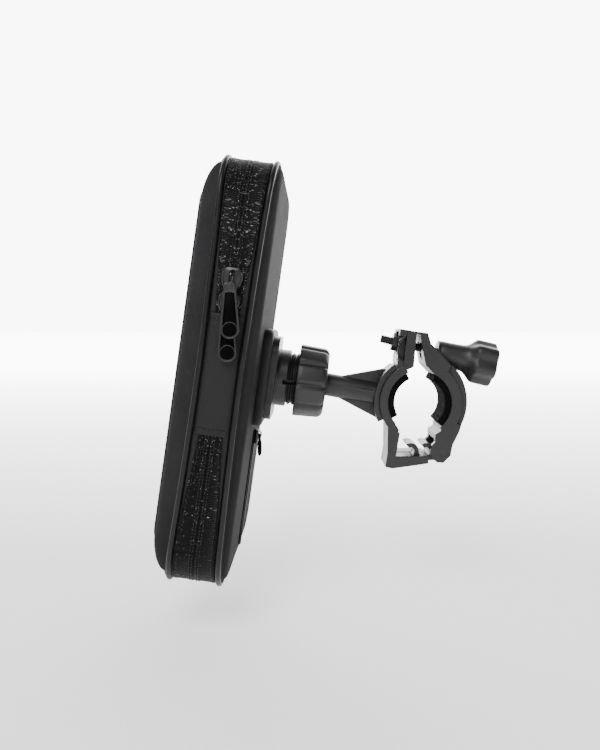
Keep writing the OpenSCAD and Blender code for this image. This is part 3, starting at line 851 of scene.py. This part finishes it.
def zip_slider(name, node, body, pivot):
    """A slider over the zip: outer and inner plate, guide wings, and an arched bail for the pull."""
    lo, hi = local_box(node, CASE)
    zc = (lo[2] + hi[2]) / 2
    place = CASE @ Matrix.Translation(Vector((ZIP_X, -HALF_W, zc)) * MM)
    outline_piece(name + "_plate", shield(3.6, 4.4), -1.55, -0.15, place, body, SLIDER, 0.35,
                  replaces=[node], slot="slider_metal")
    outline_piece(name + "_back_plate", shield(3.1, 4.2), 2.35, 3.25, place, body, SLIDER, 0.3,
                  slot="slider_metal")
    for s in (-1, 1):
        wing = [(s * 3.35, -0.9, 3.2), (s * 3.7, -0.95, 1.6), (s * 3.72, -0.95, 0.2),
                (s * 3.3, -0.9, -1.6), (s * 2.6, -0.9, -3.3)]
        tube("%s_wing_%s" % (name, "ab"[s > 0]), wing, 0.55, place, body, SLIDER, slot="slider_metal")
    reach = -HALF_W - pivot[1] + 0.85
    bail = [(0, -1.2, 3.3), (0, -1.9, 3.1), (0, -reach + 0.5, 2.3), (0, -reach, 1.2), (0, -reach, -0.4),
            (0, -reach, -1.8), (0, -reach + 0.4, -2.9), (0, -reach + 1.0, -3.4), (0, -1.3, -3.6)]
    fine = []
    for a, b in zip(bail[:-1], bail[1:]):
        fine += [tuple(np.array(a) * (1 - t) + np.array(b) * t) for t in (0, 0.5)]
    tube(name + "_bail", fine + [bail[-1]], 0.42, place, body, BAIL, flat=2.0, slot="slider_metal")
    tube(name + "_post", [(0, -0.4, 0.6), (0, 1, 0.6), (0, 2.5, 0.6)], 0.2, place, body, SLIDER,
         slot="slider_metal")


def pull_outline(top, low, length):
    """Tapered tab with a round lower end: points down from the pivot."""
    cz = -length + low
    pts = [(top * math.cos(math.radians(a)), top * 0.26 * math.sin(math.radians(a)) + 0.2)
           for a in np.linspace(0, 180, 7)]
    pts += [(low * math.cos(math.radians(a)), cz + low * math.sin(math.radians(a)))
            for a in np.linspace(184, 356, 15)]
    return np.array(pts)


def ring_plate(name, outer, inner, y0, y1, place, body, mat, bevel=0.2, **kw):
    """A flat frame between two outlines with the same number of points."""
    rings = []
    for pts, y in ((outer, y0 + bevel), (outer * 0.97 + inner * 0.03, y0 + bevel * 0.3),
                   (outer * 0.85 + inner * 0.15, y0), (inner * 0.85 + outer * 0.15, y0),
                   (inner, y0 + bevel), (inner, y1), (outer, y1)):
        rings.append(np.column_stack([pts[:, 0], np.full(len(pts), y), pts[:, 1]]))
    return add_grid(name, np.array(rings).transpose(1, 0, 2), True, place, body, mat, **kw)


def disc_outline(radius, cz, n=28):
    a = np.linspace(0, 2 * math.pi, n, endpoint=False)
    return np.column_stack([radius * np.cos(a), cz + radius * np.sin(a)])


def zip_pull(name, node, body, joint):
    """A rounded tab with a raised rim, a sunk middle and a round dish at its lower end."""
    lo, hi = local_box(node, ROW)
    pivot = Vector(JOINTS[joint]["pos_m"])
    place = Matrix.Translation(pivot)
    length = pivot.z / MM - lo[2]
    half_low = (hi[0] - lo[0]) / 2
    outer = pull_outline(2.3, half_low, length)
    inner = pull_outline(1.7, half_low - 0.55, length - 0.55)
    inner[:7, 1] -= 3.6
    cz = -length + half_low
    ring_plate(name + "_rim", outer, inner, -0.72, 0.55, place, body, PULL_RIM_HIGHLIGHT,
               replaces=[node], slot="pull_plastic")
    web = inner.copy()
    web[:, 0] *= 1.03
    outline_piece(name + "_web", web, -0.28, 0.4, place, body, PULL, 0.05, slot="pull_plastic")
    ring_plate(name + "_dish", disc_outline(half_low - 0.45, cz), disc_outline(half_low - 0.8, cz),
               -0.5, 0.3, place, body, PULL_RIM_HIGHLIGHT, 0.15, slot="pull_plastic")
    tube(name + "_bar", [(-2.1, 0, 0), (0, 0, 0), (2.1, 0, 0)], 0.5, place, body, SLIDER,
         slot="slider_metal")


LOWER_PIVOT = CASE.inverted() @ Vector(JOINTS["lower_pull_swing"]["pos_m"]) / MM
UPPER_PIVOT = CASE.inverted() @ Vector(JOINTS["upper_pull_swing"]["pos_m"]) / MM
zip_slider("lower_zip_slider", "lower_slider", "lower_zip", LOWER_PIVOT)
zip_slider("upper_zip_slider", "upper_slider", "upper_zip", UPPER_PIVOT)
zip_pull("lower_zip_pull", "lower_pull", "lower_zip_pull", "lower_pull_swing")
zip_pull("upper_zip_pull", "upper_pull", "upper_zip_pull", "upper_pull_swing")


def pocket_zip_parts():
    """The small slider on the back pocket, its bail, and its moulded pull."""
    lo, hi = local_box("pocket_slider", CASE)
    zc = (lo[2] + hi[2]) / 2
    layers = [(lo[0], 2.9, 2.0, 0.8), (lo[0] + 0.2, 3.1, 2.2, 1.0), (lo[0] + 0.9, 3.1, 2.2, 1.0),
              (lo[0] + 1.2, 2.8, 1.8, 0.8), (lo[0] + 1.25, 1.8, 1.0, 0.6)]
    block("pocket_slider_body", layers, (0, zc), "pocket_zip_slider", SLIDER, replaces=["pocket_slider"],
          slot="slider_metal")
    pivot = Vector(JOINTS["pocket_pull_swing"]["pos_m"])
    place = CASE @ Matrix.Translation(CASE.inverted() @ pivot)
    bail = [(-0.8, 0, 1.7), (-0.1, 0, 1.5), (0.55, 0, 0.9), (0.75, 0, 0), (0.6, 0, -0.9), (0, 0, -1.5),
            (-0.8, 0, -1.7)]
    tube("pocket_slider_bail", bail, 0.32, place, "pocket_zip_slider", SLIDER, slot="slider_metal")
    place = Matrix.Translation(pivot)
    body = "pocket_zip_pull"
    tube("pocket_pull_bar", [(0, -1.7, 0), (0, 0, 0), (0, 1.7, 0)], 0.42, place, body, SLIDER,
         replaces=["pocket_pull"], slot="slider_metal")
    for s in (-1, 1):
        arm = [(0, s * 1.6, 0.1), (0, s * 1.6, -1.4), (0, s * 1.2, -3.0)]
        tube("pocket_pull_side_" + "ab"[s > 0], arm, 0.48, place, body, PULL, slot="pull_plastic")
    half = [(0.5, -2.3), (0.8, -3.6), (0.9, -5.4), (0.9, -7.4), (0.78, -8.6), (0.45, -9.35)]
    tab = half + [(0, -9.6)] + [(-x, z) for x, z in reversed(half)]
    outline_piece("pocket_pull_tab", tab, -1.35, 1.35, place, body, PULL, 0.3, slot="pull_plastic")


pocket_zip_parts()


# ---------------------------------------------------------------- ring nut, knob, threads
nut_lo, nut_hi = local_box("ring_nut", CASE)
NUT_R = max(nut_hi[1], nut_hi[2])
NUT_TAPER = 0.7
NUT_ROUND = 2.6
NUT_SHELF = 4.9
x0, x1 = nut_lo[0], nut_hi[0]
NUT_GROOVES = 10


def nut_lobe(angle, x, r):
    """Ten finger grooves round the nut, and its taper towards the front."""
    step = 2 * math.pi / NUT_GROOVES
    off = (angle + math.radians(3) + step / 2) % step - step / 2
    groove = np.exp(-(off * NUT_R / 0.95) ** 2)
    flat = 0.35 * np.cos(off * NUT_GROOVES) ** 2
    r = r - NUT_TAPER * (x - x0) / (x1 - x0) * np.clip((r - 12.4) / 2.0, 0, 1)
    k = np.clip((r - 12.4) / 2.0, 0, 1)
    return r - k * (1.05 * groove + 0.15 * flat)


nut_profile = [(x0, 11.9), (x0, 13.0), (x0, NUT_R - 0.5), (x0 + 0.15, NUT_R - 0.15), (x0 + 0.5, NUT_R)]
nut_profile += [(x0 + t, NUT_R) for t in (3, 6)]
for a in range(0, 91, 15):
    turn = math.radians(a)
    nut_profile.append((x1 - NUT_ROUND + NUT_ROUND * math.sin(turn),
                        NUT_R - NUT_ROUND + NUT_ROUND * math.cos(turn)))
nut_profile += [(x1, 10.2), (x1 - 0.2, 9.6), (NUT_SHELF, 8.72), (NUT_SHELF, 11.9)]
revolve("ring_nut_body", nut_profile, CASE, "nut", PLASTIC, nut_lobe, 320, replaces=["ring_nut"],
        slot="moulded_plastic")

KNOB_LOBES = 6
KNOB_R = 9.9
KNOB_L = local_box("thumb_screw_knob", SCREW)[1][0]
SCREW_PITCH = 0.7


def knob_lobe(angle, x, r):
    """Six scoops round the knob's grip."""
    step = 2 * math.pi / KNOB_LOBES
    off = (angle - math.radians(8) + step / 2) % step - step / 2
    scoop = np.cos(off * KNOB_LOBES / 2) ** 2
    k = np.clip((r - 6.1) / (KNOB_R - 6.1), 0, 1)
    return r - k * 1.5 * scoop ** 1.1


knob_profile = [(0, 2.1), (0, 4.9), (0.12, 5.15), (0.5, 5.32), (4, 5.45), (8, 5.65), (10.5, 5.85),
                (11.8, 6.1), (12.8, 6.6), (13.8, 7.4), (14.8, 8.4), (15.6, 9.2), (16.2, 9.65),
                (16.9, KNOB_R - 0.05), (17.6, KNOB_R), (20.5, KNOB_R), (KNOB_L - 0.9, KNOB_R),
                (KNOB_L - 0.4, KNOB_R - 0.15), (KNOB_L - 0.08, KNOB_R - 0.5), (KNOB_L, KNOB_R - 1.0),
                (KNOB_L, 4.0), (KNOB_L - 0.5, 3.4), (KNOB_L - 0.5, 0.6), (KNOB_L - 0.6, 0.15),
                (11.7, 0.15), (11.7, 2.1)]
revolve("thumb_knob", knob_profile, SCREW, "thumb_screw", KNOB, knob_lobe, 192,
        replaces=["thumb_screw_knob"], slot="knob_plastic")


def helix(name, x_start, x_end, pitch, root, crest, where, body, mat, n=40, **kw):
    """A threaded rod: the radius at each point follows the helix, and fades in at the ends."""
    steps = int((x_end - x_start) / pitch * 8)
    x = np.linspace(x_start, x_end, steps + 1)
    a = np.arange(n) * 2 * math.pi / n
    angle, xx = np.meshgrid(a, x)
    phase = (xx / pitch - angle / (2 * math.pi)) % 1.0
    ridge = np.clip(1 - np.abs(phase - 0.5) * 2.6, 0, 1)
    fade = np.clip(np.minimum(xx - x_start, x_end - xx) / (pitch * 0.5), 0, 1)
    r = root + (crest - root) * np.minimum(ridge * 1.2, 1) * fade
    verts = np.stack([xx, -r * np.cos(angle), r * np.sin(angle)], 2)
    return add_grid(name, verts, False, where, body, mat, **kw)


shank_lo, shank_hi = local_box("thumb_screw_shank", SCREW)
helix("thumb_screw_thread", shank_lo[0], shank_hi[0], SCREW_PITCH, 1.62, 2.0, SCREW, "thumb_screw", STEEL,
      replaces=["thumb_screw_shank"], slot="black_steel")


# ---------------------------------------------------------------- rubber pads
def arc_pad(name, node, body):
    """A curved rubber pad with chamfered rims, hatched on the side that grips the bar."""
    co = np.array([v.co for v in frame["nodes"][node].data.vertices]) / MM
    angle = np.degrees(np.arctan2(co[:, 2], co[:, 0]))
    if angle.max() - angle.min() > 300:
        angle = angle % 360
    r = np.hypot(co[:, 0], co[:, 2])
    r0, r1, w = r.min(), r.max(), co[:, 1].max()
    a = np.radians(np.linspace(angle.min(), angle.max(), 48))
    ring = [(r1, -w), (r0 + 0.35, -w), (r0, -w + 0.5), (r0, -w / 2), (r0, 0), (r0, w / 2), (r0, w - 0.5),
            (r0 + 0.35, w), (r1, w)]
    verts = np.array([[(q * math.cos(t), y, q * math.sin(t)) for q, y in ring] for t in a])
    v = running(verts[0])
    faces, uvs = grid_faces(len(a), len(ring), False, True, np.append(a, a[-1]) * r0, v, caps=True)
    return add_piece(name, verts.reshape(-1, 3), faces, ROW, body, RUBBER, smooth=False, uvs=uvs,
                     replaces=[node], slot="grip_rubber")


arc_pad("fixed_pad", "fixed_jaw_pad", "bar_clamp")
arc_pad("moving_pad", "moving_jaw_pad", "jaw")


# ---------------------------------------------------------------- CAD nodes that keep their shape
CAD_MATERIALS = {"fixed_jaw": PLASTIC, "ball_arm": PLASTIC, "moving_jaw": PLASTIC, "socket_plate": PLASTIC,
                 "hex_nut": STEEL, "nut_washer": STEEL, "hinge_pin": STEEL, "knob_washer": STEEL,
                 "backing_plate": STEEL, "plate_screws": STEEL, "inner_ball_liner": NYLON,
                 "outer_ball_liner": NYLON, "pressure_ring": NYLON, "pocket_zip": TAPE, "window": CLEAR}
for node, mat in CAD_MATERIALS.items():
    mesh = frame["nodes"][node].data
    mesh.materials.clear()
    mesh.materials.append(mat)


# ---------------------------------------------------------------- stage, light and camera
ROOM_LIGHT = 0.2
BACKDROP_LIGHT = 9.0


def stage():
    """A pale floor and a world that are bright behind the part and dim in front."""
    floor_z = CAD_BOX[0].z - 0.02
    bpy.ops.mesh.primitive_plane_add(size=40, location=(0, 0, floor_z))
    floor = bpy.context.object
    floor.name = "floor"
    m, nodes, links, shader = material("floor_paint", (0.92, 0.92, 0.92), 0.7, 0.2)
    links.new(bump(nodes, links, noise(nodes, links, coordinates(nodes, "Object"), 40, 3), 0.0002, 0.2),
              shader.inputs["Normal"])
    shader.inputs["Emission Color"].default_value = (1, 1, 1, 1)
    depth = nodes.new("ShaderNodeSeparateXYZ")
    links.new(coordinates(nodes, "Object"), depth.inputs[0])
    links.new(spread(nodes, links, depth.outputs["Y"], 0.05, 1.6, 0.4, BACKDROP_LIGHT),
              shader.inputs["Emission Strength"])
    floor.data.materials.append(m)
    world = bpy.data.worlds.new("studio")
    bpy.context.scene.world = world
    world.use_nodes = True
    nodes, links = world.node_tree.nodes, world.node_tree.links
    nodes["Background"].inputs["Color"].default_value = (1, 1, 1, 1)
    split = nodes.new("ShaderNodeSeparateXYZ")
    links.new(coordinates(nodes, "Generated"), split.inputs[0])
    towards = mathn(nodes, links, "POWER", spread(nodes, links, split.outputs["Y"], -1.0, 0.83), value=10)
    links.new(spread(nodes, links, towards, 0.0, 1.0, ROOM_LIGHT, BACKDROP_LIGHT),
              nodes["Background"].inputs["Strength"])


def area_light(name, at, target, size, power):
    data = bpy.data.lights.new(name, "AREA")
    data.shape = "RECTANGLE"
    data.size, data.size_y = size
    data.energy = power
    lamp = bpy.data.objects.new(name, data)
    bpy.context.scene.collection.objects.link(lamp)
    lamp.location = at
    lamp.rotation_mode = "QUATERNION"
    lamp.rotation_quaternion = (Vector(target) - Vector(at)).to_track_quat("-Z", "Y")


def camera():
    data = bpy.data.cameras.new("camera")
    data.sensor_fit = "AUTO"
    data.sensor_width = 36
    data.lens = 32.0
    data.shift_x = -0.02
    data.shift_y = -0.0627
    cam = bpy.data.objects.new("camera", data)
    bpy.context.scene.collection.objects.link(cam)
    cam.location = (-0.0457, -0.300, 0.0326)
    cam.rotation_euler = (math.radians(90), 0, 0)
    bpy.context.scene.camera = cam


stage()
area_light("key", (-0.25, -0.6, 0.55), (-0.06, 0, 0.02), (0.35, 0.35), 5.5)
area_light("rim", (0.5, 0.45, 0.3), (-0.05, 0, 0.0), (0.6, 0.6), 1.0)
camera()
